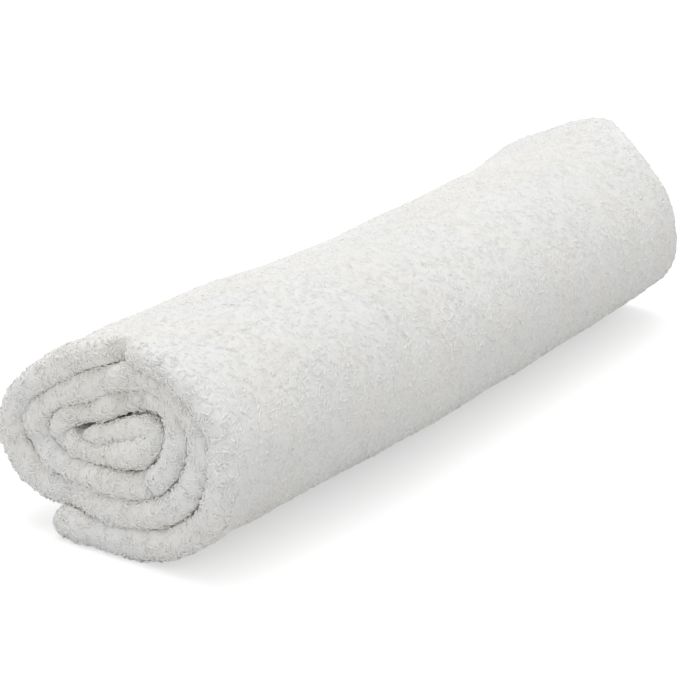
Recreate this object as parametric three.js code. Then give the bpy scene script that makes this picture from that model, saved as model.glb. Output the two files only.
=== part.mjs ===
// A small terry towel, folded in half and rolled up, lying on its outer edge.
//
// The cloth is one band, seen end on as a squashed spiral of about three and a half turns. It runs from the
// flap on the outside, under the roll, up the front and over the top, and ends in the core. Lengths are in
// millimetres and angles in degrees. +X runs along the roll, from the folded edge to the open edge of the
// cloth, -Y is the front and +Z is up. The roll lies on z = 0, with its box centred on x = 0 and y = 0.
import * as THREE from "three";

// Driving sizes
const ROLL_LENGTH = 200;
const SQUASH = 1.3; // how much wider than high the turns lie
const CORE_HEIGHT = 28.5; // of the point the turns wind round, over the lowest turn's underside
const FLOOR_CUT = 0.9; // how deep the lowest turn is pressed flat

// Where the turns begin, at the tip of the flap, and where they end, in the core
const FLAP_ANGLE = -122;
const CORE_ANGLE = 1032;

// Distance from the core to the middle of the band: a row for each turn, from the outside in, and a column
// for each direction it passes. Low and high lie on either side of the front, and rear is above the back.
// Sideways distances are stretched by SQUASH.
const DIRECTIONS = ["flap", "base", "low", "front", "high", "top", "rear", "back"];
const TURNS = [
  { flap: 30.4, base: 25.3, low: 23.1, front: 20.9, high: 18.6, top: 16.2, rear: 16.2, back: 22.8 },
  { flap: 25.8, base: 17.5, low: 17.9, front: 16.9, high: 14.2, top: 11.0, rear: 11.4, back: 16.9 },
  { flap: 17.6, base: 12.5, low: 12.9, front: 12.9, high: 9.2, top: 5.7, rear: 5.8, back: 11.3 },
  { flap: 10.4, base: 5.9, low: 5.9, front: 7.0, high: 9, top: 9, rear: 9, back: 9 },
];

// The last stretch of the band, turned back on itself in the core: places of its middle, from the core
const CORE_FOLD = [
  { y: -9.4, z: -3.1 },
  { y: -11, z: -1 },
  { y: -9.7, z: 1.3 },
  { y: -6.5, z: 1.8 },
  { y: -1.5, z: 0.9 },
  { y: 5, z: -0.6 },
];

// Thickness of the two plies together, by turn and direction. The flap lies loose, so it is thicker.
const THICKNESS = [
  { flap: 5.8, base: 6, low: 4.8, front: 4.2, high: 4.2, top: 4.2, rear: 4.2, back: 4.3 },
  { flap: 4.5, base: 4.4, low: 4.2, front: 4.2, high: 4.2, top: 4.2, rear: 4.2, back: 4.3 },
  { flap: 4.4, base: 4.2, low: 4.2, front: 4.2, high: 4.2, top: 4.2, rear: 4.2, back: 4.2 },
  { flap: 4.2, base: 4.2, low: 4.2, front: 4.2, high: 4.2, top: 4.2, rear: 4.2, back: 4.2 },
];

// How far the folded edge stands out of the roll's end, or lies back in it, by turn and direction
const FOLDED_EDGE = [
  { flap: -0.4, base: 0, low: 0, front: 0, high: -0.3, top: -0.8, rear: 0, back: 0.3 },
  { flap: 0.2, base: 0.4, low: 0.2, front: -0.8, high: -1.8, top: -2.2, rear: -0.6, back: 0 },
  { flap: 0.4, base: 0.6, low: 0, front: -0.6, high: -1.4, top: -1.8, rear: -1.2, back: -0.4 },
  { flap: 0.2, base: 0.2, low: -0.6, front: -1, high: -1, top: -1, rear: -1, back: -1 },
];

// The same for the open edge at the far end
const OPEN_EDGE = [
  { flap: 3, base: 4.5, low: 4, front: -4, high: -4.5, top: 5.5, rear: 4, back: 1 },
  { flap: 0, base: 2, low: 1, front: -6, high: -8, top: -1, rear: 0, back: -1 },
  { flap: -1, base: 0, low: -1, front: -6, high: -8, top: -4, rear: -2, back: -2 },
  { flap: -3, base: -3, low: -4, front: -5, high: -5, top: -5, rear: -5, back: -5 },
];

// The roll along its length. A row for each station: its share of the length, how wide and how high the
// turns lie there, as shares of the distances above, and how far the roll has bent toward the back.
const STATIONS = [
  { share: 0, wide: 1.005, high: 1.035, bend: 0 },
  { share: 0.12, wide: 1.02, high: 1.08, bend: 0.2 },
  { share: 0.25, wide: 1.02, high: 1.075, bend: 0.7 },
  { share: 0.4, wide: 1.015, high: 1.018, bend: 1.8 },
  { share: 0.55, wide: 1.02, high: 1.03, bend: 3.4 },
  { share: 0.7, wide: 1.02, high: 1.008, bend: 5.5 },
  { share: 0.85, wide: 1.025, high: 1.04, bend: 8 },
  { share: 1, wide: 1.03, high: 1.09, bend: 11.1 },
];

// How round the cloth's edges are: a row for each step in from an edge, with the band's thickness there
const EDGE_STEPS = [
  { inward: 0, thick: 0.42 },
  { inward: 0.45, thick: 0.78 },
  { inward: 1.5, thick: 1 },
];

// Steps of the mesh
const BAND_STEPS = 126;
const LENGTH_STEPS = 12;
const STRAIGHT_STEP = 7; // millimetres between points where the band runs straight
const BEND_STEP = 14; // and degrees between them where it bends
const FOLDED_REACH = 14; // how far in from the folded edge its unevenness dies out
const OPEN_REACH = 36; // and from the open edge

// A smooth curve through evenly spaced values, read at a place counted in rows
function smooth(values, place) {
  const last = values.length - 1;
  const i = Math.min(Math.max(Math.floor(place), 0), last - 1);
  const t = Math.min(Math.max(place, 0), last) - i;
  const at = (k) => values[Math.min(Math.max(k, 0), last)];
  const [a, b, c, d] = [at(i - 1), at(i), at(i + 1), at(i + 2)];
  return b + (t * (c - a + t * (2 * a - 5 * b + 4 * c - d + t * (3 * (b - c) + d - a)))) / 2;
}

// One value of a table with turns for rows, at an angle along the band. The table starts at -135 degrees.
function alongBand(table, angle) {
  const values = table.flatMap((row) => DIRECTIONS.map((name) => row[name]));
  return smooth(values, (angle + 135) / 45);
}

// A column of STATIONS, at a share of the roll's length
function alongRoll(name, share) {
  const i = Math.max(1, STATIONS.findIndex((row) => row.share >= share));
  const [from, to] = [STATIONS[i - 1].share, STATIONS[i].share];
  return smooth(STATIONS.map((row) => row[name]), i - 1 + (share - from) / (to - from));
}

// The middle line of the band, seen end on, with its points closer together where it bends
function bandLine() {
  const coarse = [];
  for (let angle = FLAP_ANGLE; angle <= CORE_ANGLE; angle += 6) {
    const reach = alongBand(TURNS, angle);
    const turn = THREE.MathUtils.degToRad(angle);
    const y = -SQUASH * reach * Math.cos(turn);
    coarse.push({ angle, thick: alongBand(THICKNESS, angle), y, z: reach * Math.sin(turn) });
  }
  const turns = coarse.length;
  for (const place of CORE_FOLD) coarse.push({ ...coarse[turns - 1], ...place });
  const spans = coarse.length - 1;
  const places = coarse.map((p) => new THREE.Vector3(0, p.y, p.z + CORE_HEIGHT));
  const curve = new THREE.CatmullRomCurve3(places, false, "centripetal");
  const fine = [];
  for (let step = 0; step <= 4 * spans; step++) {
    const i = Math.min(Math.floor(step / 4), spans - 1);
    const mix = (name) => coarse[i][name] + (step / 4 - i) * (coarse[i + 1][name] - coarse[i][name]);
    const { y, z } = curve.getPoint(step / 4 / spans);
    fine.push({ angle: mix("angle"), thick: mix("thick"), y, z, weight: 0 });
  }
  const heading = (i) => Math.atan2(fine[i + 1].z - fine[i].z, fine[i + 1].y - fine[i].y);
  for (let i = 1; i < fine.length; i++) {
    const run = Math.hypot(fine[i].y - fine[i - 1].y, fine[i].z - fine[i - 1].z);
    const bend = i < fine.length - 1 ? heading(i) - heading(i - 1) : 0;
    const degrees = THREE.MathUtils.radToDeg(Math.abs(Math.atan2(Math.sin(bend), Math.cos(bend))));
    fine[i].weight = fine[i - 1].weight + run / STRAIGHT_STEP + degrees / BEND_STEP;
  }
  const whole = fine[fine.length - 1].weight;
  const line = [];
  let i = 1;
  for (let step = 0; step <= BAND_STEPS; step++) {
    const weight = (whole * step) / BAND_STEPS;
    while (i < fine.length - 1 && fine[i].weight < weight) i++;
    const t = (weight - fine[i - 1].weight) / (fine[i].weight - fine[i - 1].weight);
    const mix = (name) => fine[i - 1][name] + t * (fine[i][name] - fine[i - 1][name]);
    line.push({ angle: mix("angle"), thick: mix("thick"), y: mix("y"), z: mix("z") });
  }
  return line;
}

// The outline of the band, seen end on: out along its outer side, round the core end, and back along its
// inner side. Each point keeps its angle and the side it lies on, 1 for outside and -1 for inside.
function bandOutline() {
  const line = bandLine();
  const last = line.length - 1;
  const across = line.map((p, i) => {
    const [a, b] = [line[Math.max(i - 1, 0)], line[Math.min(i + 1, last)]];
    const size = Math.hypot(b.y - a.y, b.z - a.z);
    return { y: -(b.z - a.z) / size, z: (b.y - a.y) / size };
  });
  const roundOff = (i) => {
    const near = Math.min(i, last - i);
    return near === 0 ? 0.45 : near === 1 ? 0.88 : 1;
  };
  const points = line.map((p, i) => ({ ...p, across: across[i], round: roundOff(i) }));
  const outer = points.map((p) => ({ ...p, side: 1 }));
  const inner = points.map((p) => ({ ...p, side: -1 })).reverse();
  return [...outer, ...inner];
}

// The stations of the mesh: for each, its share of the length and its share of the band's thickness
function meshStations() {
  const rows = EDGE_STEPS.map((step) => ({ share: step.inward / ROLL_LENGTH, thick: step.thick }));
  for (let step = 1; step < LENGTH_STEPS; step++) rows.push({ share: step / LENGTH_STEPS, thick: 1 });
  const open = EDGE_STEPS.map((step) => ({ share: 1 - step.inward / ROLL_LENGTH, thick: step.thick }));
  return [...rows, ...open.reverse()];
}

// One point of the band's surface
function surfacePoint(point, station) {
  const half = (point.thick / 2) * point.round * station.thick * point.side;
  const wide = alongRoll("wide", station.share);
  const high = alongRoll("high", station.share);
  const y = point.y * wide + half * point.across.y + alongRoll("bend", station.share);
  const z = point.z * high + half * point.across.z - FLOOR_CUT;
  const fromFold = station.share * ROLL_LENGTH;
  const fade = (share) => Math.max(0, 1 - share) ** 2;
  const outFold = alongBand(FOLDED_EDGE, point.angle) * fade(fromFold / FOLDED_REACH);
  const outOpen = alongBand(OPEN_EDGE, point.angle) * fade((ROLL_LENGTH - fromFold) / OPEN_REACH);
  const x = fromFold - outFold + outOpen;
  return new THREE.Vector3(x, y, Math.max(z, 0));
}

// The rolled cloth as one closed surface
function rolledCloth() {
  const outline = bandOutline();
  const stations = meshStations();
  const count = outline.length;
  const points = stations.flatMap((station) => outline.map((point) => surfacePoint(point, station)));
  const faces = [];
  for (let s = 0; s < stations.length - 1; s++) {
    for (let i = 0; i < count; i++) {
      const next = (i + 1) % count;
      const [a, b] = [s * count + i, s * count + next];
      const [c, d] = [a + count, b + count];
      faces.push(a, c, b, b, c, d);
    }
  }
  const open = (stations.length - 1) * count;
  for (let i = 0; i < BAND_STEPS; i++) {
    const [a, b, c, d] = [i, i + 1, count - 2 - i, count - 1 - i];
    faces.push(a, b, c, a, c, d);
    faces.push(open + a, open + c, open + b, open + a, open + d, open + c);
  }
  const geometry = new THREE.BufferGeometry().setFromPoints(points);
  geometry.setIndex(faces);
  geometry.computeBoundingBox();
  const box = geometry.boundingBox;
  geometry.translate(-(box.min.x + box.max.x) / 2, -(box.min.y + box.max.y) / 2, -box.min.z);
  geometry.computeVertexNormals();
  return geometry;
}

const cloth = new THREE.MeshStandardMaterial({ name: "towel_cloth", color: 0xf1f0ec, roughness: 0.95 });
const towel = new THREE.Mesh(rolledCloth(), cloth);
towel.name = "towel";

const group = new THREE.Group();
group.name = "rolled_towel";
group.add(towel);

export default group;
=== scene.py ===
# %% [markdown]
# A small terry towel, folded in half and rolled up, in Blender
#
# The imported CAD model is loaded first, as a frame in metres. It gives the roll's size and place, and
# everything made below has to lie where it lies. The towel itself is then made as what it is: one sheet of
# cloth with a real thickness, folded over once along the near end, and wound up. Its pile is made last, as
# many thousands of small loops that stand on the sheet.

import bpy
import numpy as np
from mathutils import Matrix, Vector


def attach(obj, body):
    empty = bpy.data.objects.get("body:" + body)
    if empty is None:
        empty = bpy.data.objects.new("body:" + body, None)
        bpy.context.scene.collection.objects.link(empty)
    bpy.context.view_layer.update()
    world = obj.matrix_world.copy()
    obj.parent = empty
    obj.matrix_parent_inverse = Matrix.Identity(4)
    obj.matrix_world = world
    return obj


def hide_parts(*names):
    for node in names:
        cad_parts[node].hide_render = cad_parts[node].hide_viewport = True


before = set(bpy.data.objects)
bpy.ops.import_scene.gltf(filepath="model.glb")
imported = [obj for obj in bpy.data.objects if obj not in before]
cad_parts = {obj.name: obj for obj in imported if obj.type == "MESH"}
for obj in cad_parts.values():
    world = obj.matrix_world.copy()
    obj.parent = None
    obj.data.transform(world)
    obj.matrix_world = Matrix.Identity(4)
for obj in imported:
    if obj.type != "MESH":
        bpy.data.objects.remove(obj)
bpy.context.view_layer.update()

MM = 0.001
chance = np.random.default_rng(11)

# %% [markdown]
# The way the cloth is wound
#
# Seen from its end, a rolled cloth is a spiral. A tidy spiral could come from one formula, but a cloth that
# was rolled by hand lies closer in one place and slacker in another, so the distance from the core to the
# cloth is written down here for eight directions in every turn. A smooth curve through those numbers gives
# the line that the middle of the cloth follows. Lengths are in millimetres and angles in degrees, with 0
# to the front of the roll and 90 straight up.
#
# At its folded end the roll has been handled. The turns there are pushed together at the front and droop to
# the back, and the core is squeezed flat. So that end has numbers of its own, for the eight directions that
# lie halfway between the others, and its innermost turn is a route of points. The cloth passes from the one
# line to the other within its first two centimetres.

# %% The turns, written down
# A row for each turn, from the outside in. The columns go round it: flap, base, low, front, high, top, rear
# and back, where low and high lie on either side of the front, and rear is above the back.
COLUMN_STEP = 45
TURNS = (
    (30.4, 25.3, 23.1, 20.9, 18.6, 16.2, 16.2, 22.8),
    (25.8, 17.5, 17.9, 16.9, 14.2, 11.0, 11.4, 16.9),
    (17.6, 12.5, 12.9, 12.9, 9.2, 5.7, 5.8, 11.3),
    (10.4, 5.9, 5.9, 7.0, 9.0, 9.0, 9.0, 9.0),
)
CORE_FOLD = ((-9.4, -3.1), (-11, -1), (-9.7, 1.3), (-6.5, 1.8), (-1.5, 0.9), (1.8, 0.2), (5, -0.6))
FIRST_DIRECTION, FLAP_TIP, CORE = -135, -122, 1032
# The same at the folded end, each column half a step before its partner above
NEAR_TURNS = (
    (37.0, 25.8, 23.4, 21.1, 18.5, 16.6, 15.0, 17.9),
    (26.3, 19.5, 17.5, 15.6, 14.4, 11.1, 9.8, 11.3),
    (20.3, 13.0, 11.8, 10.4, 10.3),
)
NEAR_CORE = (
    (-11.6, 5.9), (-9.2, 7.0), (-6.5, 6.4), (-3.0, 5.1), (0.5, 4.0), (3.7, 3.0), (6.5, 1.6), (10.0, 0.1),
    (14.0, -0.6), (17.2, -2.0), (18.4, -4.3), (17.0, -6.1), (12.5, -6.5), (8.0, -6.9), (3.0, -6.3),
    (-2.0, -5.1), (-5.2, -3.7), (-7.2, -1.6), (-7.4, 0.3), (-5.6, 1.2), (-2.0, 0.2), (4.0, -2.0),
    (10.6, -3.9),
)
NEAR_FIRST_DIRECTION, NEAR_FLAP_TIP, NEAR_CORE_START = -157.5, -120.5, 742
NEAR_CORE_PACE = 4.4  # degrees that the angle goes on by for each mm of the route
SQUASH = 1.3  # how much wider than high the turns lie
CORE_HEIGHT = 28.5  # of the point that they wind round
PRESSED = 0.9  # how far the lowest turn is pressed into the floor, where it goes flat
print("directions written down:", sum(len(turn) for turn in TURNS + NEAR_TURNS))


# %% From numbers to a line
def ease(t):
    """Rises from 0 to 1 and is level at both: three times the square of t, less twice its cube."""
    t = np.clip(t, 0, 1)
    return t * t * (3 - 2 * t)


def smooth(values, place):
    """A curve through evenly spaced values: between two of them it is the cubic whose slope at each is half
    the step from its neighbour before to its neighbour after."""
    values, last = np.asarray(values, float), len(values) - 1
    place = np.clip(place, 0, last)
    i = np.minimum(place.astype(int), last - 1)
    t = place - i
    a, b, c, d = (values[np.clip(i + k, 0, last)] for k in (-1, 0, 1, 2))
    return b + t / 2 * (c - a + t * (2 * a - 5 * b + 4 * c - d + t * (3 * (b - c) + d - a)))


def along_band(table, angle, first=FIRST_DIRECTION):
    """A table of turns and directions, read at an angle: its rows are laid end to end, one column step
    apart."""
    return smooth(np.concatenate(table), (np.asarray(angle, float) - first) / COLUMN_STEP)


def curve_through(points, steps):
    """A curve through points of any spacing, in steps for each span: cubic pieces that meet with one slope,
    where each slope weighs the two spans beside it by the square roots of their lengths."""
    p = np.vstack([2 * points[0] - points[1], points, 2 * points[-1] - points[-2]])
    g = np.sqrt(np.linalg.norm(np.diff(p, axis=0), axis=1))[:, None]
    a, b, c, d = p[:-3, None], p[1:-2, None], p[2:-1, None], p[3:, None]
    ga, gb, gc = g[:-2, None], g[1:-1, None], g[2:, None]
    leave = ((b - a) / ga - (c - a) / (ga + gb) + (c - b) / gb) * gb
    meet = ((c - b) / gb - (d - b) / (gb + gc) + (d - c) / gc) * gb
    t = np.arange(steps)[None, :, None] / steps
    inside = b + ease(t) * (c - b) + t * (1 - t) * ((1 - t) * leave - t * meet)
    return np.vstack([inside.reshape(-1, points.shape[1]), points[-1:]])


# %% The line of the cloth
WOUND_POINTS, SPAN_STEPS = 193, 8


def wind(turns, first, tip, last, route, pace):
    """The middle line of the cloth, with the angle of each point as a third column. Sideways, the distance
    times the cosine of the angle is stretched by SQUASH, and upwards it goes with the sine. Past the last
    angle the line goes through the points of the route, where the angle grows by the pace for each mm."""
    wound = np.linspace(tip, last, WOUND_POINTS)
    reach = along_band(turns, wound, first)
    sideways, upwards = -SQUASH * reach * np.cos(np.radians(wound)), reach * np.sin(np.radians(wound))
    points = np.vstack([np.stack([sideways, upwards], 1), route])
    steps = np.hypot(*np.diff(points[len(wound) - 1:], axis=0).T)
    angles = np.concatenate([wound, wound[-1] + pace * np.cumsum(steps)])
    return curve_through(np.column_stack([points, angles]), SPAN_STEPS)


drawn = wind(TURNS, FIRST_DIRECTION, FLAP_TIP, CORE, CORE_FOLD, 0)
drawn_near = wind(NEAR_TURNS, NEAR_FIRST_DIRECTION, NEAR_FLAP_TIP, NEAR_CORE_START, NEAR_CORE, NEAR_CORE_PACE)
print("turns of cloth:", round((CORE - FLAP_TIP) / 360, 2))

# %% [markdown]
# Even steps along the cloth
#
# A mesh looks smooth where its points lie closer together in a bend than on a straight run. So each little
# step of the folded end's line gets a weight, made of its length and of how far it turns, and the line is
# read again at even steps of that weight. The other line is read at the same shares of its length, so a
# point of the one and its partner on the other are the same spot along the towel.

# %% The middle line of the band
BAND_STEPS = 400
STRAIGHT_STEP, BEND_STEP = 1.4, 10  # a weight of 1 stands for so many mm, or for so many degrees


def run_of(path):
    """How far along the line each of its points is."""
    return np.concatenate([[0], np.cumsum(np.hypot(*np.diff(path[:, :2], axis=0).T))])


def headings(path):
    """The way that the line goes at each point, in radians and without jumps."""
    ahead = np.gradient(path, axis=0)
    return np.unwrap(np.arctan2(ahead[:, 1], ahead[:, 0]))


def read_at(path, shares):
    """The line at shares of its length: its points, the way out of the roll at each, and the angle there."""
    y, z, angle = (np.interp(shares * run_of(path)[-1], run_of(path), column) for column in path.T)
    points = np.stack([y, z + CORE_HEIGHT], 1)
    ahead = headings(points)
    return points, np.stack([-np.sin(ahead), np.cos(ahead)], 1), angle


weight = run_of(drawn_near) / STRAIGHT_STEP
weight[1:] += np.degrees(np.cumsum(np.abs(np.diff(headings(drawn_near[:, :2]))))) / BEND_STEP
even = np.linspace(0, weight[-1], BAND_STEPS + 1)
shares = np.interp(even, weight, run_of(drawn_near)) / run_of(drawn_near)[-1]
line, across, angle = read_at(drawn, shares)
near_line, near_across, near_angle = read_at(drawn_near, shares)
length = shares * run_of(drawn)[-1]
print("band length, mm:", round(length[-1], 1), "and at the folded end:", round(run_of(drawn_near)[-1], 1))

# %% [markdown]
# How thick the roll's layers are
#
# The towel is two plies thick, about four millimetres. At the near end the plies are one piece, folded over,
# and such a fold is springy: it swells until it meets the turn beside it. So the distance from each point to
# the turns outside and inside it is measured, and the fold gets half of it on each side, less what is left
# open. The openings are written down by turn and direction, because they are what the eye reads first. In a
# tight bend the inner side has less room, so there the swelling stays below the radius of the bend.

# %% Thickness and openings
THICKNESS = (
    (5.8, 6, 4.8, 4.2, 4.2, 4.2, 4.2, 4.3),
    (4.5, 4.4, 4.2, 4.2, 4.2, 4.2, 4.2, 4.3),
    (4.4, 4.2, 4.2, 4.2, 4.2, 4.2, 4.2, 4.2),
    (4.2, 4.2, 4.2, 4.2, 4.2, 4.2, 4.2, 4.2),
)
# How far the fold swells where nothing lies outside it
FREE_SWELL = (
    (4.0, 3.9, 3.2, 3.2, 2.6, 2.3, 3.0, 2.8),
    (4.2, 2.8, 2.3, 2.3, 2.3, 2.3, 2.3, 2.3),
)
# Between each turn and the next one inside it, at the near end; below 0 they are pressed into each other
OPENINGS = (
    (-0.6, -0.6, 0.3, -0.4, -0.5, 0.5, -0.3, -0.2),
    (-0.6, -0.6, 0.5, 0.1, -0.6, -0.5, -0.5, -0.4),
    (-0.3, 0.3, 0.4, 0.2, 0.9, 0.8, 0.8, -0.6),
    (-0.4, -1.0, -1.4, -1.4, -1.4, -1.4, -1.4, -1.4),
)
MOST_SWELL, LEAST_SWELL = 4.3, 1.6
BEND_FILL = 0.8  # the share of a bend's radius that the fold may fill
OWN_STRETCH = 9  # closer than this along the cloth, two points are of one turn
FACING = 0.7  # about the cosine of 45 degrees
EXPOSED_FROM = 12  # with no turn nearer than this outside it, a point shows
FAR_OFF = 99  # stands for no turn, and for no bend
SOFTEN_OVER = 9  # points along the band, for the changes from one to the next
print("thickness, mm:", min(map(min, THICKNESS)), "to", max(map(max, THICKNESS)))


# %% Room for the fold
def to_neighbour(side):
    """For each point of the near line, how far the nearest other turn is on one side: over all points that
    lie farther away along the cloth and within 45 degrees of straight across, the least distance."""
    apart = near_line[None] - near_line[:, None]
    away = np.hypot(*apart.transpose(2, 0, 1))
    facing = side * np.einsum("ijk,ik->ij", apart, near_across)
    near = (np.abs(length[None] - length[:, None]) > OWN_STRETCH) & (facing > FACING * away)
    return np.where(near, away, FAR_OFF).min(1)


def bend_room(path, side):
    """The radius of the line's bend where that side is the inner one, and FAR_OFF elsewhere: a step's length
    over the angle that the line turns by."""
    step = np.gradient(run_of(path))
    return step / np.maximum(side * np.gradient(headings(path)), step / FAR_OFF)


def softened(values):
    """The mean over a few neighbours, weighed by one arch of a cosine."""
    arch = np.hanning(SOFTEN_OVER) / np.hanning(SOFTEN_OVER).sum()
    return np.convolve(np.pad(values, SOFTEN_OVER // 2, mode="edge"), arch, "valid")


outward, inward = to_neighbour(1), to_neighbour(-1)
thick = along_band(THICKNESS, angle) / 2
exposed = outward > EXPOSED_FROM
swell_out = np.clip((outward - along_band(OPENINGS, near_angle - 360)) / 2, LEAST_SWELL, MOST_SWELL)
swell_out = np.where(exposed, along_band(FREE_SWELL, near_angle), swell_out)
swell_in = np.clip((inward - along_band(OPENINGS, near_angle)) / 2, LEAST_SWELL, MOST_SWELL)
swell_out = softened(np.minimum(swell_out, BEND_FILL * bend_room(near_line, 1)))
swell_in = softened(np.minimum(swell_in, BEND_FILL * bend_room(near_line, -1)))
shown = softened(exposed * 1.0)
print("nearest turns, mm:", round(inward.min(), 1), "to", round(inward[inward < FAR_OFF].max(), 1))

# %% [markdown]
# The folded sheet, cut across
#
# Cut across the band, the towel looks like a hairpin. Seen from the far end it goes along the outer ply,
# round the fold and back along the inner ply, and then along the inside of the hairpin, where the plies lie
# on each other. Each point of this outline says how far it is from the fold, which ply it is on, and how
# much of the ply's thickness it stands out. One closed outline keeps the sheet watertight and gives the
# towel its true area.

# %% The outline of the hairpin
ROLL_LENGTH, FOLD_DEPTH, HEM_DEPTH, PLY_GAP = 200.0, 3.0, 1.1, 0.12
SIDE_BY_SIDE = 1.12  # how much wider the fold would be, were it not pressed flat by its neighbours
# The spacing of the points past the fold, and before the hems
NEAR_STEPS, FAR_STEPS = (0.7, 0.8, 0.9, 1.0, 1.2, 1.5, 2.0, 3.0), (0.8, 1.2, 2.0, 3.0)
MIDDLE_POINTS = 36
FOLD_ANGLES, HEM_ANGLES = np.radians(np.arange(0, 181, 15)), np.radians(np.arange(0, 151, 30))
# Past the fold's depth: where the inside of the hairpin has its tip, and where its lining begins
TIP_START, LINING_START, LINING_POINTS = 0.9, 1.2, 14


def hairpin():
    """Four columns for each point of the outline: distance from the fold, ply (1 outer, -1 inner), share of
    the half thickness, and share of the gap. The fold is a half ellipse with its sides cut off flat, the
    hems are smaller half ellipses, and the plies between them are straight. Also gives the number of points
    on the outside of the hairpin."""
    near = FOLD_DEPTH + np.cumsum(NEAR_STEPS)
    far = ROLL_LENGTH - HEM_DEPTH - np.cumsum(FAR_STEPS)[::-1]
    straight = np.concatenate([near, np.linspace(near[-1], far[0], MIDDLE_POINTS + 2)[1:-1], far])
    edge = ROLL_LENGTH - HEM_DEPTH * (1 - np.sin(HEM_ANGLES))
    ones = np.ones(len(straight))
    ply = np.stack([np.concatenate([straight, edge]),
                    np.concatenate([ones, (1 + np.cos(HEM_ANGLES)) / 2]),
                    np.concatenate([0 * ones, (1 - np.cos(HEM_ANGLES)) / 2])], 1)
    fold = np.stack([FOLD_DEPTH * (1 - np.sin(FOLD_ANGLES)),
                     np.minimum(SIDE_BY_SIDE * np.abs(np.cos(FOLD_ANGLES)), 1),
                     0 * FOLD_ANGLES], 1)
    inside = np.linspace(ROLL_LENGTH - HEM_DEPTH, FOLD_DEPTH + LINING_START, LINING_POINTS)
    lining = np.stack([inside, 0 * inside, 0 * inside + 1], 1)
    tip = np.array([[FOLD_DEPTH + TIP_START, 0, 0]])
    rows = [(ply[::-1], 1), (fold, np.sign(np.cos(FOLD_ANGLES).round(6))), (ply, -1),
            (lining, -1), (tip, 1), (lining[::-1], 1)]
    outline = np.vstack([np.column_stack([r, np.broadcast_to(s, len(r))]) for r, s in rows])
    return outline[:, [0, 3, 1, 2]], 2 * len(ply) + len(fold)


outline, OUTSIDE = hairpin()
depth, ply, full, gap = outline.T
print("points round the hairpin:", len(outline), "of them outside:", OUTSIDE)

# %% [markdown]
# The roll along its length
#
# Nothing about a hand-rolled towel is straight. The turns slide along one another, so their edges stand out
# of the roll's ends by different amounts. The roll is a little fatter in places, and it bends. On top of
# that come long soft waves, like those that any thick cloth has where it isn't pulled tight, and the fold
# has small lumps. The waves are sums of a few sines with directions and phases drawn by chance from a fixed
# seed, so every run gives the same towel.

# %% Edges, widths and heights
# How far the edges stand out of the two ends, or lie back in them, by turn and direction
FOLDED_EDGE = (
    (2.2, 1.0, 0.2, 0, -0.3, -0.8, 0, 0.3),
    (0.2, 0.4, 0.2, -0.8, -1.8, -2.2, -0.6, 0),
    (0.4, 0.6, 0, -0.6, -1.4, -1.8, -1.2, -0.4),
    (0.2, 0.2, -0.6, -1, -1, -1, -1, -1),
)
OPEN_EDGE = (
    (3, 4.5, 4, -4, -4.5, 7, 5, 1),
    (0, 2, 1, -6, -8, -1, 0, -1),
    (-1, 0, -1, -6, -8, -4, -2, -2),
    (-3, -3, -4, -5, -5, -5, -5, -5),
)
FOLDED_REACH, OPEN_REACH = 14, 36  # how far into the roll that goes on
NEAR_REACH = 20  # how far into the roll the folded end's own line reaches
# Dents in the folded edge, pressed in by hand: angle along the band, half width in degrees, depth, and how
# steep the sides are
DENTS = (
    (96, 7.5, 5.5, 3), (565, 8, 2.2, 2), (656, 2.5, 1.6, 2),
    (797, 16, 2.4, 8), (814, 4, 2, 2), (908, 9, 2, 2),
)
# At 13 even steps along the roll: how wide and how high it is, and how far it is bent to the back, in mm
WIDE = (1.008, 1.042, 1.047, 1.078, 1.055, 1.039, 1.019, 1.029, 1.014, 1.024, 1.02, 1.045, 1.03)
HIGH = (1.046, 1.065, 1.072, 1.083, 1.068, 1.036, 1.024, 1.033, 1.046, 1.049, 1.052, 1.038, 1.114)
BEND = (0, 0.1, 0.3, 0.7, 1.2, 1.95, 2.8, 3.8, 5, 6.3, 7.7, 9.5, 11.1)
print("dents:", len(DENTS), "and steps along the roll:", len(WIDE))

# %% Waves, and how they fade
LONG_WAVES = 0.34  # of both plies together
CALM_AT_FOLD, CALM_REACH = 0.25, 12  # the share of them that is left at the fold, and how far that goes on
CREST, CREST_REACH = 0.1, 4  # lumps along the crest of the fold, as a share of its thickness
FOLDED_WAVES, OPEN_WAVES = 0.75, 0.5  # of the two edges, along the roll
FLAP_WAVES, FLAP_REACH = 1.8, 16  # of the flap's edge, and how far along the cloth they go on
FLAP_FROM = 30  # how far from the fold they are in full
CALMER = 0.6  # the power of its wavelength that a wave's height goes with


def waves(u, v, longest, shortest, count, seed):
    """Soft unevenness between about -1 and 1: a sum of sines of u and v over the root of their count. Each
    has its own direction, phase and wavelength, and a height that goes with a power of the wavelength."""
    lengths, draw = np.geomspace(longest, shortest, count), np.random.default_rng(seed)
    ways, phases = draw.uniform(0, np.pi, count), draw.uniform(0, 2 * np.pi, count)
    total = sum(np.sin(2 * np.pi * (u * np.cos(way) + v * np.sin(way)) / wave + phase)
                * (wave / longest) ** CALMER
                for wave, way, phase in zip(lengths, ways, phases))
    return total / count**0.5


def fade(distance, reach):
    """From 1 at no distance to 0 at the reach: the square of the share that is left."""
    return np.clip(1 - distance / reach, 0, 1) ** 2


print("flap's edge, mm:", (FLAP_WAVES * waves(depth, 0 * depth, 90, 14, 6, seed=6)).round(1)[::20])

# %% [markdown]
# The towel's thickness, point by point
#
# The fold swells, and a few millimetres past it the plies are plain again. A cloth that is pressed against
# another one has flat sides, so the outside keeps room for its pile only where it shows. The thickness could
# be left to a Solidify modifier, but that knows one thickness for a whole piece or a weight for each point,
# and here the two sides differ.

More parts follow.
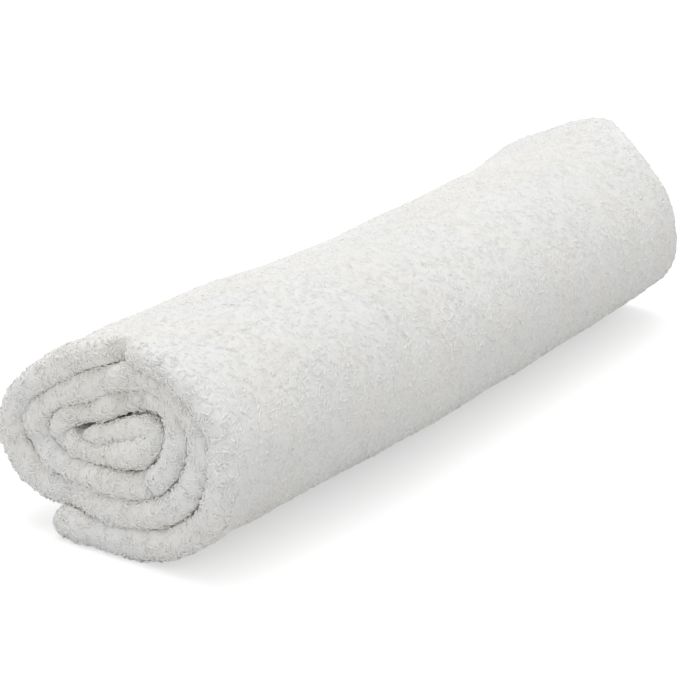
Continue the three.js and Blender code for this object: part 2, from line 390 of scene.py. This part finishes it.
# %% Half thickness
PILE = 0.5  # the sheet stays this far inside the roll's outline, for its pile to fill
INNER_PILE = 0.1  # and this far where it is pressed
TOUCHING, TOUCHING_FADE = 1.5, 9  # the folds touch for so many mm, and then pass to the plain band
END_ROUND, END_CUT = 1.8, 0.5  # over so many mm the band's ends lose up to half of their squared thickness


def half_thickness():
    """How far the sheet's outside is from the middle of the towel, for each point of the grid: the swollen
    value at the fold, eased over to the plain one, then rounded off at the two ends of the band, and made
    uneven along the crest of the fold."""
    swollen = 1 - ease((depth - FOLD_DEPTH - TOUCHING) / TOUCHING_FADE)[None]
    outer, inner = (thick - PILE * shown)[:, None], (thick - INNER_PILE)[:, None]
    half = np.where(ply[None] >= 0, outer + (swell_out[:, None] - outer) * swollen,
                    inner + (swell_in[:, None] - inner) * swollen)
    from_end = np.minimum(length, length[-1] - length)[:, None]
    half = half * np.sqrt(1 - (1 - np.clip(from_end / END_ROUND, 0, 1)) ** 2 * END_CUT)
    crest = np.exp(-depth / CREST_REACH)[None]
    return half * (1 + crest * CREST * waves(length[:, None], depth[None], 12, 3, 8, seed=1))


half = half_thickness()
print("half thickness, mm:", half.min().round(2), "to", half.max().round(2))

# %% [markdown]
# The sheet's surface
#
# The whole sheet is one function of two parameters, the place along the band and the place round the
# hairpin. It could also be modelled flat and rolled up by a simulation, but a simulated roll springs open
# and ends where it likes, and this one has to end on the CAD model.

# %% The grid of points
INNER_SHORT = 1.3  # the inner ply ends a little short of the outer
FLOOR_ROOM = 0.35  # the sheet stays this far over the floor


def end_shift():
    """How far each point moves along the roll, in three parts that fade into it: what the folded edge stands
    out, what the open edge slides, and what the inner ply is short of the outer. A dent is a bell over the
    angle, whose power says how steep it is."""
    from_fold = fade(depth, FOLDED_REACH)[None]
    from_open = fade(ROLL_LENGTH - depth, OPEN_REACH)[None]
    stands = along_band(FOLDED_EDGE, near_angle)
    stands = stands + FOLDED_WAVES * waves(length, 0 * length, 22, 4, 8, seed=3)
    for place, reach, deep, steep in DENTS:
        stands = stands - deep * np.exp(-np.abs((near_angle - place) / reach) ** steep)
    slides = along_band(OPEN_EDGE, angle) + OPEN_WAVES * waves(length, 0 * length, 30, 9, 5, seed=4)
    short = np.where(ply < 0, INNER_SHORT, 0)[None] * from_open
    return stands[:, None] * from_fold, slides[:, None] * from_open, short


def towel_points():
    """The sheet's surface, a grid of points: along the band, and round the hairpin. A point starts on the
    middle line, is widened, heightened and bent by its share of the roll's length, and steps out across the
    band by its share of the thickness. Its place along the roll is its distance from the fold, moved by how
    far the edges stand out. It never goes under the floor."""
    share = depth / ROLL_LENGTH
    wide, high, bend = (smooth(column, share * (len(WIDE) - 1))[None] for column in (WIDE, HIGH, BEND))
    out = ply[None] * (full[None] * half + gap[None] * PLY_GAP)
    # Long soft waves move both plies together
    calm = np.clip(depth / CALM_REACH, CALM_AT_FOLD, 1)[None]
    out = out + LONG_WAVES * waves(length[:, None], depth[None], 60, 16, 9, seed=2) * calm
    own = ease(1 - depth / NEAR_REACH)[None]
    middle = line[:, None] + (near_line - line)[:, None] * own[..., None]
    way = across[:, None] + (near_across - across)[:, None] * own[..., None]
    way /= np.linalg.norm(way, axis=2, keepdims=True)
    y = middle[..., 0] * wide + out * way[..., 0] + bend
    z = middle[..., 1] * high + out * way[..., 1] - PRESSED
    # The flap's edge isn't straight along the roll: it moves along the cloth by a few soft waves
    to_tip = fade(length, FLAP_REACH)[:, None] * np.clip(depth / FLAP_FROM, 0, 1)[None]
    moved = to_tip * FLAP_WAVES * waves(depth, 0 * depth, 90, 14, 6, seed=6)[None]
    y, z = y + moved * way[..., 1], z - moved * way[..., 0]
    stands, slides, short = end_shift()
    return np.stack([depth[None] - stands + slides - short, y, np.maximum(z, FLOOR_ROOM)], 2)


points = towel_points()
print("raw box, mm:", points.min((0, 1)).round(2), points.max((0, 1)).round(2))

# %% [markdown]
# From a grid to a mesh
#
# Neighbouring points of the grid make the faces, all at once and without a loop. The two ends of the band,
# at the tip of the flap and in the core, are closed by a strip of triangles between the outside and the
# inside of the hairpin. The roll's place in the frame comes from the CAD model's box, so the piece lands on
# the solid that it stands for.

# %% The faces of the grid
RAW_CENTRE = (102.65, 7.5)  # the middle of the box of the roll as wound, which the frame has at zero


def strip(count_out, lining_at):
    """Triangles between the outside of a hairpin and its lining, both given by distance from the fold: each
    step of the one side takes the nearest point of the other as its third corner. The numbers of lining
    points are written below zero, from -1 on."""
    at = np.where(ply[:count_out] >= 0, -depth[:count_out], depth[:count_out])
    turn = np.maximum.accumulate(np.searchsorted((lining_at[1:] + lining_at[:-1]) / 2, at))
    turn[0], turn[-1] = 0, len(lining_at) - 1
    k = np.arange(count_out - 1)
    e = np.arange(len(lining_at) - 1)
    first = np.searchsorted(turn, e + 1)
    return np.vstack([np.stack([k, k + 1, ~turn[k]], 1), np.stack([~e, first, ~(e + 1)], 1)])


def towel_faces(rows, columns):
    """Quads of the grid, with the outline closed on itself, and the two end strips. A lining point is
    counted back from the end of the outline. All faces point out of the cloth."""
    i, j = np.meshgrid(np.arange(rows - 1), np.arange(columns), indexing="ij")
    a, b = i * columns + j, i * columns + (j + 1) % columns
    quads = np.stack([a + columns, b + columns, b, a], -1).reshape(-1, 4)
    back = np.arange(columns - 1, OUTSIDE - 1, -1)
    lining_at = np.where(ply[back] > 0, -depth[back], depth[back])
    ends = strip(OUTSIDE, lining_at)
    ends = np.where(ends < 0, columns + ends, ends)
    last = (rows - 1) * columns
    return quads, np.vstack([ends, ends[:, ::-1] + last])


rows, columns = points.shape[:2]
corners = ((points - (RAW_CENTRE[0], RAW_CENTRE[1], 0)) * MM).reshape(-1, 3)
quads, ends = towel_faces(rows, columns)
print("sheet:", len(corners), "points,", len(quads) + len(ends), "faces")


# %% The sheet's mesh
def put_mesh(name, corners, faces, smooth_shaded=True):
    """A mesh object from an array of points in metres and a list of arrays of faces."""
    mesh = bpy.data.meshes.new(name)
    sizes = np.concatenate([np.full(len(f), f.shape[1]) for f in faces])
    mesh.vertices.add(len(corners))
    mesh.vertices.foreach_set("co", np.ascontiguousarray(corners, np.float32).ravel())
    mesh.loops.add(int(sizes.sum()))
    mesh.loops.foreach_set("vertex_index", np.concatenate([f.ravel() for f in faces]).astype(np.int32))
    mesh.polygons.add(len(sizes))
    mesh.polygons.foreach_set("loop_start", np.concatenate([[0], np.cumsum(sizes)[:-1]]).astype(np.int32))
    mesh.polygons.foreach_set("use_smooth", np.full(len(sizes), smooth_shaded))
    mesh.update(calc_edges=True)
    mesh.validate()
    piece = bpy.data.objects.new(name, mesh)
    bpy.context.scene.collection.objects.link(piece)
    return piece


def volume(corners, quads):
    """The volume inside quads that point outwards: a sixth of the sum, over each quad's two triangles, of
    their corners' triple product."""
    a, b, c, d = (corners[quads[:, k]] for k in range(4))
    return (np.einsum("ij,ij->", a, np.cross(b, c)) + np.einsum("ij,ij->", a, np.cross(c, d))) / 6


towel = put_mesh("rolled_towel_cloth", corners, [quads, ends])
print("cloth, cubic cm, above 0 if the faces point outwards:", round(volume(corners, quads) * 1e6))

# %% [markdown]
# Terry loops
#
# The pile of a terry cloth is a crowd of little yarn loops, mostly under a millimetre high, that lean every
# way. Fur strands would be too thin and too straight for them, and a bump alone would leave a hard, clean
# outline. So each loop is a real piece of tube with three sides: it leaves the cloth, arches over, curls
# sideways and dives back in. Forty thousand of them stay cheap, because all their points come out of a few
# array operations. Where they stand comes first.


# %% Where the loops stand
def scatter(chosen, per_mm2):
    """Spots on the sheet: quads of the grid are drawn by their area times a weight from 0 to 1, and a spot is
    put at random in each. Gives the spots, the way out of the cloth there, and one way along it."""
    a, b, c, d = (corners[quads[:, k]] / MM for k in range(4))
    out = np.cross(c - a, d - b) / 2
    area = np.linalg.norm(out, axis=1)
    odds = area * chosen
    count = int(odds.sum() * per_mm2)
    q = chance.choice(len(quads), count, p=odds / odds.sum())
    u, v = chance.uniform(0, 1, (2, count, 1))
    spot = (a[q] * (1 - u) + b[q] * u) * (1 - v) + (d[q] * (1 - u) + c[q] * u) * v
    normal = out[q] / area[q, None]
    along = b[q] - a[q]
    along -= normal * np.einsum("ij,ij->i", along, normal)[:, None]
    return spot, normal, along / np.linalg.norm(along, axis=1)[:, None]


FOLD_PILE, THROAT_PILE, HEM_PILE = 4, 10, 195  # from the fold, where one kind of pile passes to the next
TIP_PILE = 6  # the pile goes on round the flap's edge for this far
THROAT_SHARE, TIP_SHARE = 0.35, 0.8  # how dense it is there, against the fold and the hems
QUARTER = ROLL_LENGTH / 4
rows_at, columns_at = np.meshgrid(np.arange(rows - 1), np.arange(columns), indexing="ij")
row_of, column_of = rows_at.ravel(), columns_at.ravel()
deep, on_outside = depth[column_of], column_of < OUTSIDE
seen = (ply[column_of] > 0) & (shown[row_of] > 0.5)
body = on_outside & (deep > FOLD_PILE) & (deep < HEM_PILE)
near_edge = on_outside & (deep <= FOLD_PILE)
near_throat = on_outside & (deep > FOLD_PILE) & (deep < THROAT_PILE) & ~seen
far_edge = on_outside & (deep >= HEM_PILE)
flap_tip = body & ~seen & (length[row_of] < TIP_PILE)
print("quads with pile: body", (body & seen).sum(), "fold", near_edge.sum(), "hems", far_edge.sum())

# %% [markdown]
# The form of one loop
#
# A tube with three sides and four rings has only twenty triangles, and that is enough, for a loop covers
# only a few pixels of a picture. One of its edges points up: light from above then meets two slanting sides,
# and the cloth doesn't glitter as it would with flat tops.

# %% Loops of yarn
LOOP_LENGTH, LOOP_RADIUS = 1.3, 0.21
LOOP_ROOT = 0.12  # how deep the ends of a loop lie under the cloth's surface
LOOP_FLATNESS = 0.65  # the height of the yarn's cut, as a share of its width
LEAN, TWIST = 0.3, 0.2  # how much loops lean over, and how much the yarn is turned
CURL, CURL_TURN = 0.45, 0.8  # how far they curl sideways at most, and how much of a whole wave that is
LONGER, TALLER, THICKER = (0.7, 1.3), (0.6, 1.25), (0.8, 1.2)  # how much they differ, as shares
TUFTS, LEAST_TUFT, MOST_TUFT = 0.35, 0.3, 2  # how much the waves over the cloth change their height
SLANT = 0.7  # how the pattern of those waves is carried round the roll
TAPER = (0.7, 1, 1, 0.7)  # the yarn's thickness at each ring
RINGS, SIDES = len(TAPER), 3
LOOP_FACES, LOOP_TRIANGLES = (RINGS - 1) * SIDES + 2, (RINGS - 1) * SIDES * 2 + 2
YARN_ROOM = 0.03  # the yarn stays this far over the floor


def loops(spot, normal, along, size, height):
    """Corners and faces of one tube for each spot. The middle of a tube runs along the cloth at a random
    heading, rises as half a sine, and curls sideways as most of a whole one. Soft waves over the cloth make
    it taller here and lower there, so that the pile gathers in tufts. Three corners stand round it at each
    of four rings, with an edge on top, thinner at the two ends, which lie under the cloth's surface."""
    n = len(spot)
    heading, lean = chance.uniform(0, 2 * np.pi, (n, 1)), chance.normal(0, LEAN, (n, 1))
    beside = np.cross(normal, along)
    tangent = along * np.cos(heading) + beside * np.sin(heading)
    binormal = np.cross(normal, tangent)
    long = size * LOOP_LENGTH * chance.uniform(*LONGER, (n, 1, 1))
    x, y, z = spot.T
    tuft = 1 + TUFTS * waves(x + SLANT * y, z - SLANT * y, 7, 2, 7, seed=5)
    tuft = np.clip(tuft, LEAST_TUFT, MOST_TUFT)[:, None, None]
    tall = height * tuft * chance.uniform(*TALLER, (n, 1, 1))
    curl = long * chance.uniform(-CURL, CURL, (n, 1, 1))
    t = np.linspace(0, 1, RINGS)[None, :, None]
    middle = (spot[:, None] + tangent[:, None] * long * (t - 0.5)
              + (normal + lean * binormal)[:, None] * (tall * np.sin(np.pi * t) - LOOP_ROOT)
              + binormal[:, None] * curl * np.sin(2 * np.pi * t * CURL_TURN))
    turn = 2 * np.pi * np.arange(SIDES) / SIDES + np.pi / 2 + chance.normal(0, TWIST, (n, 1))
    radius = size * LOOP_RADIUS * chance.uniform(*THICKER, (n, 1, 1, 1)) * np.array(TAPER)[:, None, None]
    upright = LOOP_FLATNESS * normal[:, None] * np.sin(turn)[..., None]
    ring = binormal[:, None] * np.cos(turn)[..., None] + upright
    yarn = middle[:, :, None] + ring[:, None] * radius
    yarn[..., 2] = np.maximum(yarn[..., 2], YARN_ROOM)
    return yarn.reshape(-1, 3) * MM, *loop_faces(n)


def loop_faces(n):
    """The quads round n tubes, and the two triangles that close each."""
    k, s = np.arange(RINGS - 1)[:, None] * SIDES, np.arange(SIDES)[None]
    s_next = (s + 1) % SIDES
    side_faces = np.stack([k + s, k + s_next, k + SIDES + s_next, k + SIDES + s], -1).reshape(-1, 4)
    last = RINGS * SIDES
    caps = np.array([[2, 1, 0], [last - 3, last - 2, last - 1]])
    start = (np.arange(n) * last)[:, None, None]
    return (side_faces[None] + start).reshape(-1, 4), (caps[None] + start).reshape(-1, 3)


print("triangles in a loop:", LOOP_TRIANGLES)

# %% [markdown]
# One map for all loops of a piece
#
# Each loop has its own tone, a little lighter or darker than the next. It is stored on the mesh as an
# attribute for the material to read. The loops also get a map: a board of small squares with one square for
# each loop, on which its sides lie spread out, so a picture of the pile has room for every loop.

# %% The pile's pieces
SQUARE_MARGIN, SQUARE_FILL = 0.1, 0.8  # of a square, what stays free at its edge, and what is filled


def board_map(count):
    """Places on the map for all face corners of a piece: a loop's number gives the row and column of its
    square, its sides fill a grid of three by three in there, and its two caps lie over the first and the
    last row."""
    board = int(np.ceil(count**0.5))
    cell = np.stack([np.arange(count) % board, np.arange(count) // board], 1)
    side = np.array([[0, 0], [0, 1], [1, 1], [1, 0]], float)
    k, s = np.repeat(np.arange(RINGS - 1), SIDES), np.tile(np.arange(SIDES), RINGS - 1)
    on_side = (side[None] + np.stack([s, k], 1)[:, None]) / SIDES
    on_cap = np.array([[[0, 0.1], [0.5, 0.35], [1, 0.1]], [[0, 0.9], [0.5, 0.65], [1, 0.9]]])
    spread = [((cell[:, None, None] + SQUARE_MARGIN + SQUARE_FILL * part[None]) / board).reshape(-1, 2)
              for part in (on_side, on_cap)]
    return np.vstack(spread).astype(np.float32).ravel()


def put_pile(name, chosen, per_mm2, size, height):
    """One joined mesh of loops on the chosen part of the sheet, with a tone for each loop."""
    spots = scatter(chosen, per_mm2)
    yarn, sides, caps = loops(*spots, size, height)
    piece = put_mesh(name, yarn, [sides, caps], smooth_shaded=False)
    count = len(spots[0])
    tone = piece.data.attributes.new("tone", "FLOAT", "POINT")
    tones = np.repeat(chance.uniform(0, 1, count), RINGS * SIDES)
    tone.data.foreach_set("value", tones.astype(np.float32))
    piece.data.uv_layers.new(name="OFBake").uv.foreach_set("vector", board_map(count))
    print(name, count, "loops,", count * LOOP_TRIANGLES, "triangles")
    return piece


quarters = [body & seen & (deep > k * QUARTER) & (deep <= (k + 1) * QUARTER) for k in range(4)]
pile = [put_pile(f"towel_pile_{k + 1}", part * 1.0, per_mm2=0.95, size=1.0, height=0.22)
        for k, part in enumerate(quarters)]
pile.append(put_pile("towel_pile_fold", near_edge + THROAT_SHARE * near_throat,
                     per_mm2=1.05, size=1.0, height=0.44))
pile.append(put_pile("towel_pile_hem", far_edge + TIP_SHARE * flap_tip,
                     per_mm2=0.8, size=0.9, height=0.25))
print("pile, triangles:", sum(len(p.data.polygons) // LOOP_FACES * LOOP_TRIANGLES for p in pile))

# %% [markdown]
# White terry
#
# White cotton or microfibre is never one flat white. The yarn between the loops lies in their shade, which is
# painted shade here: the sheet is given a white a little darker than the loops', and the loops' lighter white
# is painted light. The cloth also has faint patches where it was pressed, and its fibres catch light at the
# rims.
# What the sheet and its loops share, the patches, is a node group, so both get the same ones in the same
# places.


# %% Shared patches
def patches_group():
    """A shader group: three-dimensional noise at two sizes, mixed into one value from 0 to 1. A third noise,
    cut to its middle range, says how creamy the white is."""
    group = bpy.data.node_groups.new("terry_patches", "ShaderNodeTree")
    for name, default in (("Wide", 28.0), ("Fine", 160.0)):
        socket = group.interface.new_socket(name, in_out="INPUT", socket_type="NodeSocketFloat")
        socket.default_value = default
    for name in ("Value", "Cream"):
        group.interface.new_socket(name, in_out="OUTPUT", socket_type="NodeSocketFloat")
    nodes, links = group.nodes, group.links
    given, result = nodes.new("NodeGroupInput"), nodes.new("NodeGroupOutput")
    place = nodes.new("ShaderNodeTexCoord")
    both = nodes.new("ShaderNodeMath")
    both.operation = "ADD"
    for k, name in enumerate(("Wide", "Fine")):
        noise = nodes.new("ShaderNodeTexNoise")
        noise.inputs["Detail"].default_value = 2.0
        links.new(place.outputs["Object"], noise.inputs["Vector"])
        links.new(given.outputs[name], noise.inputs["Scale"])
        links.new(noise.outputs["Fac"], both.inputs[k])
    half = nodes.new("ShaderNodeMath")
    half.operation = "MULTIPLY"
    half.inputs[1].default_value = 0.5
    links.new(both.outputs[0], half.inputs[0])
    links.new(half.outputs[0], result.inputs["Value"])
    third = nodes.new("ShaderNodeTexNoise")
    third.inputs["Scale"].default_value = 55.0
    links.new(place.outputs["Object"], third.inputs["Vector"])
    cut = nodes.new("ShaderNodeMapRange")
    cut.inputs["From Min"].default_value = 0.42
    cut.inputs["From Max"].default_value = 0.6
    links.new(third.outputs["Fac"], cut.inputs["Value"])
    links.new(cut.outputs["Result"], result.inputs["Cream"])
    return group


PATCHES = patches_group()
print("group:", PATCHES.name, "gives", [s.name for s in PATCHES.interface.items_tree if s.in_out == "OUTPUT"])


# %% Helpers for both materials
def ramp(nodes, stops):
    """A colour ramp node with the two given places and colours."""
    node = nodes.new("ShaderNodeValToRGB")
    for element, (place, colour) in zip(node.color_ramp.elements, stops):
        element.position, element.color = place, (*colour, 1)
    return node


def between(nodes, links, value, low, high):
    """A socket with low where the value is 0.3 and below, high where it is 0.7 and above, and even steps
    between."""
    node = nodes.new("ShaderNodeMapRange")
    for name, number in (("From Min", 0.3), ("From Max", 0.7), ("To Min", low), ("To Max", high)):
        node.inputs[name].default_value = number
    links.new(value, node.inputs["Value"])
    return node.outputs["Result"]


CREAM = (1.0, 0.991, 0.97, 1)


def creamed(nodes, links, colour, patches):
    """A colour socket: the colour times a pale cream, as far as the patches say."""
    node = nodes.new("ShaderNodeMix")
    node.data_type, node.blend_type = "RGBA", "MULTIPLY"
    colour_in = next(s for s in node.inputs if s.name == "A" and s.type == "RGBA")
    cream_in = next(s for s in node.inputs if s.name == "B" and s.type == "RGBA")
    cream_in.default_value = CREAM
    links.new(patches.outputs["Cream"], node.inputs["Factor"])
    links.new(colour, colour_in)
    return next(s for s in node.outputs if s.type == "RGBA")


def bumped(nodes, links, height, strength, distance):
    """A socket with the surface's normal, tilted by the slopes of a height."""
    node = nodes.new("ShaderNodeBump")
    node.inputs["Strength"].default_value = strength
    node.inputs["Distance"].default_value = distance
    links.new(height, node.inputs["Height"])
    return node.outputs["Normal"]


print("cream, at its strongest:", CREAM[:3])

# %% [markdown]
# The ground of the cloth
#
# Between its loops a terry cloth shows its ground, a weave in the shade of the pile. That shade is painted:
# the sheet's white is a little darker than that of the loops. To model each yarn of it would take millions of
# faces for what is hardly seen, so its relief is a bump: rounded cells for the feet of the loops, and fine
# noise for the yarn. Light goes a little way into white fibres and comes out beside, which is what subsurface
# scattering does.


# %% The sheet's material
def sheet_material():
    """The cloth between the loops: warm white with patches, a little darker than the loops' white as painted
    shade, and a bump of small rounded cells for the feet of the loops and of fine noise for the yarn."""
    material = bpy.data.materials.new("terry_cloth")
    material.use_nodes = True
    nodes, links = material.node_tree.nodes, material.node_tree.links
    shader = nodes["Principled BSDF"]
    shader.inputs["Specular IOR Level"].default_value = 0.2
    shader.inputs["Sheen Weight"].default_value = 0.25
    shader.inputs["Sheen Roughness"].default_value = 0.6
    shader.inputs["Subsurface Weight"].default_value = 0.6
    shader.inputs["Subsurface Radius"].default_value = (1, 0.95, 0.85)
    shader.inputs["Subsurface Scale"].default_value = 0.0012
    patches = nodes.new("ShaderNodeGroup")
    patches.node_tree = PATCHES
    # painted shade: these whites lie a little under the loops', for the shade between the loops
    colours = ramp(nodes, ((0.3, (0.90, 0.896, 0.885)), (0.7, (0.94, 0.936, 0.925))))
    links.new(patches.outputs["Value"], colours.inputs["Fac"])
    links.new(creamed(nodes, links, colours.outputs["Color"], patches), shader.inputs["Base Color"])
    place = nodes.new("ShaderNodeTexCoord")
    cells = nodes.new("ShaderNodeTexVoronoi")
    cells.inputs["Scale"].default_value = 900
    yarn = nodes.new("ShaderNodeTexNoise")
    yarn.inputs["Scale"].default_value = 1800
    for texture in (cells, yarn):
        links.new(place.outputs["Object"], texture.inputs["Vector"])
    relief = nodes.new("ShaderNodeMath")
    relief.operation = "SUBTRACT"
    links.new(yarn.outputs["Fac"], relief.inputs[0])
    links.new(cells.outputs["Distance"], relief.inputs[1])
    links.new(bumped(nodes, links, relief.outputs[0], 0.6, 0.0004), shader.inputs["Normal"])
    rough = between(nodes, links, patches.outputs["Value"], 0.86, 1.0)
    links.new(rough, shader.inputs["Roughness"])
    return material


towel.data.materials.append(sheet_material())
print("the sheet's material:", towel.data.materials[0].name)

# %% [markdown]
# The yarn of the loops
#
# The loops stand in the light, and their white is painted a little lighter than the sheet's, as painted
# light. A tone for each keeps neighbours apart, as the turns of real yarn do. Their form is in the mesh
# already, and the bump is left with nothing but the fibres.


# %% The loops' material
def pile_material():
    """The yarn of the loops: a white painted a little lighter than the sheet's, as painted light, whose tone
    and roughness differ from loop to loop, over the same patches, with a bump of fine noise for its fibres."""
    material = bpy.data.materials.new("terry_loops")
    material.use_nodes = True
    nodes, links = material.node_tree.nodes, material.node_tree.links
    shader = nodes["Principled BSDF"]
    shader.inputs["Specular IOR Level"].default_value = 0.2
    shader.inputs["Sheen Weight"].default_value = 0.3
    shader.inputs["Sheen Roughness"].default_value = 0.5
    patches = nodes.new("ShaderNodeGroup")
    patches.node_tree = PATCHES
    tone = nodes.new("ShaderNodeAttribute")
    tone.attribute_name = "tone"
    lightness = nodes.new("ShaderNodeMath")
    lightness.operation = "MULTIPLY_ADD"
    lightness.inputs[1].default_value = 0.4
    links.new(tone.outputs["Fac"], lightness.inputs[0])
    links.new(patches.outputs["Value"], lightness.inputs[2])
    # painted light: these whites lie a little over the sheet's, for the loops that stand in the light
    colours = ramp(nodes, ((0.4, (0.91, 0.906, 0.893)), (0.95, (0.96, 0.957, 0.947))))
    links.new(lightness.outputs[0], colours.inputs["Fac"])
    links.new(creamed(nodes, links, colours.outputs["Color"], patches), shader.inputs["Base Color"])
    links.new(between(nodes, links, tone.outputs["Fac"], 0.82, 0.98), shader.inputs["Roughness"])
    place = nodes.new("ShaderNodeTexCoord")
    fibres = nodes.new("ShaderNodeTexNoise")
    fibres.inputs["Scale"].default_value = 5000
    links.new(place.outputs["Object"], fibres.inputs["Vector"])
    links.new(bumped(nodes, links, fibres.outputs["Fac"], 0.25, 0.00006), shader.inputs["Normal"])
    return material


loops_finish = pile_material()
for piece in pile:
    piece.data.materials.append(loops_finish)
print("the pile's material:", loops_finish.name, "on", len(pile), "pieces")

# %% [markdown]
# What the pieces are
#
# The sheet stands for the CAD solid, which is hidden, and it is a cloth of forty by forty centimetres.
# The loops go with it, and all of them ride on the frame's root.

# %% Riding and replacing
for piece in (towel, *pile):
    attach(piece, "root")
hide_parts("towel")
print("pieces that ride:", len(pile) + 1)

# %% [markdown]
# The floor
#
# The towel lies on a plain pale floor. A floor that is white enough to vanish behind a white towel would
# light it up from below and take away its shade. So this one is a light grey with a glow that only the
# camera sees.

# %% A pale floor
FLOOR = 3.0
CORNERS = np.array([[-1, -1, 0], [1, -1, 0], [1, 1, 0], [-1, 1, 0]])
floor = put_mesh("floor", CORNERS * (FLOOR, FLOOR, 0), [np.array([[0, 1, 2, 3]])], smooth_shaded=False)
white = bpy.data.materials.new("white_floor")
white.use_nodes = True
paint = white.node_tree.nodes["Principled BSDF"]
paint.inputs["Base Color"].default_value = (0.72, 0.72, 0.72, 1)
paint.inputs["Roughness"].default_value = 0.9
paint.inputs["Specular IOR Level"].default_value = 0.0
paint.inputs["Emission Color"].default_value = (1, 1, 1, 1)
seen_by = white.node_tree.nodes.new("ShaderNodeLightPath")
lift = white.node_tree.nodes.new("ShaderNodeMath")
lift.operation = "MULTIPLY"
lift.inputs[1].default_value = 0.5
white.node_tree.links.new(seen_by.outputs["Is Camera Ray"], lift.inputs[0])
white.node_tree.links.new(lift.outputs[0], paint.inputs["Emission Strength"])
floor.data.materials.append(white)
print("floor, metres across:", 2 * FLOOR)

# %% [markdown]
# Light
#
# The light is soft and comes from above. A broad lamp over the towel makes the top lighter than the sides,
# a bright even surrounding fills the shade, and a weak lamp beyond the near end brightens the folds there.

# %% Surroundings and lamps
world = bpy.data.worlds.new("studio")
world.use_nodes = True
sky = world.node_tree.nodes["Background"]
sky.inputs["Color"].default_value = (1, 1, 1, 1)
sky.inputs["Strength"].default_value = 0.64
bpy.context.scene.world = world
bpy.context.scene.view_settings.view_transform = "Standard"


def lamp(name, place, size, power):
    """A square lamp of a size in metres at a place, turned to the towel."""
    light = bpy.data.lights.new(name, "AREA")
    light.shape, light.size, light.energy = "SQUARE", size, power
    holder = bpy.data.objects.new(name, light)
    holder.location = place
    holder.rotation_euler = (-Vector(place)).to_track_quat("-Z", "Y").to_euler()
    bpy.context.scene.collection.objects.link(holder)
    return holder


lamps = [lamp("overhead", (0.05, 0.05, 1.3), size=1.2, power=7.0),
         lamp("beside", (-1.3, -0.1, 0.5), size=0.8, power=1.3)]
print("lamps:", [holder.name for holder in lamps])

# %% [markdown]
# Camera
#
# The camera looks along the roll from the height that a person at a table has. It stands back half a metre
# with a long lens, so the near end isn't blown up. Its place is worked out from two angles and a distance.

# %% The camera
AZIMUTH, ELEVATION, DISTANCE = np.radians(-52.83), np.radians(19.88), 0.5576
TARGET = Vector((-0.0211, -0.0027, 0.0241))
back = Vector((np.sin(AZIMUTH) * np.cos(ELEVATION), -np.cos(AZIMUTH) * np.cos(ELEVATION), np.sin(ELEVATION)))
lens = bpy.data.cameras.new("camera")
lens.lens, lens.sensor_width = 127.06, 36
lens.clip_start, lens.clip_end = 0.01, 20
camera = bpy.data.objects.new("camera", lens)
camera.location = TARGET + back * DISTANCE
camera.rotation_euler = (-back).to_track_quat("-Z", "Y").to_euler()
bpy.context.scene.collection.objects.link(camera)
bpy.context.scene.camera = camera
print("camera at:", [round(v, 3) for v in camera.location])
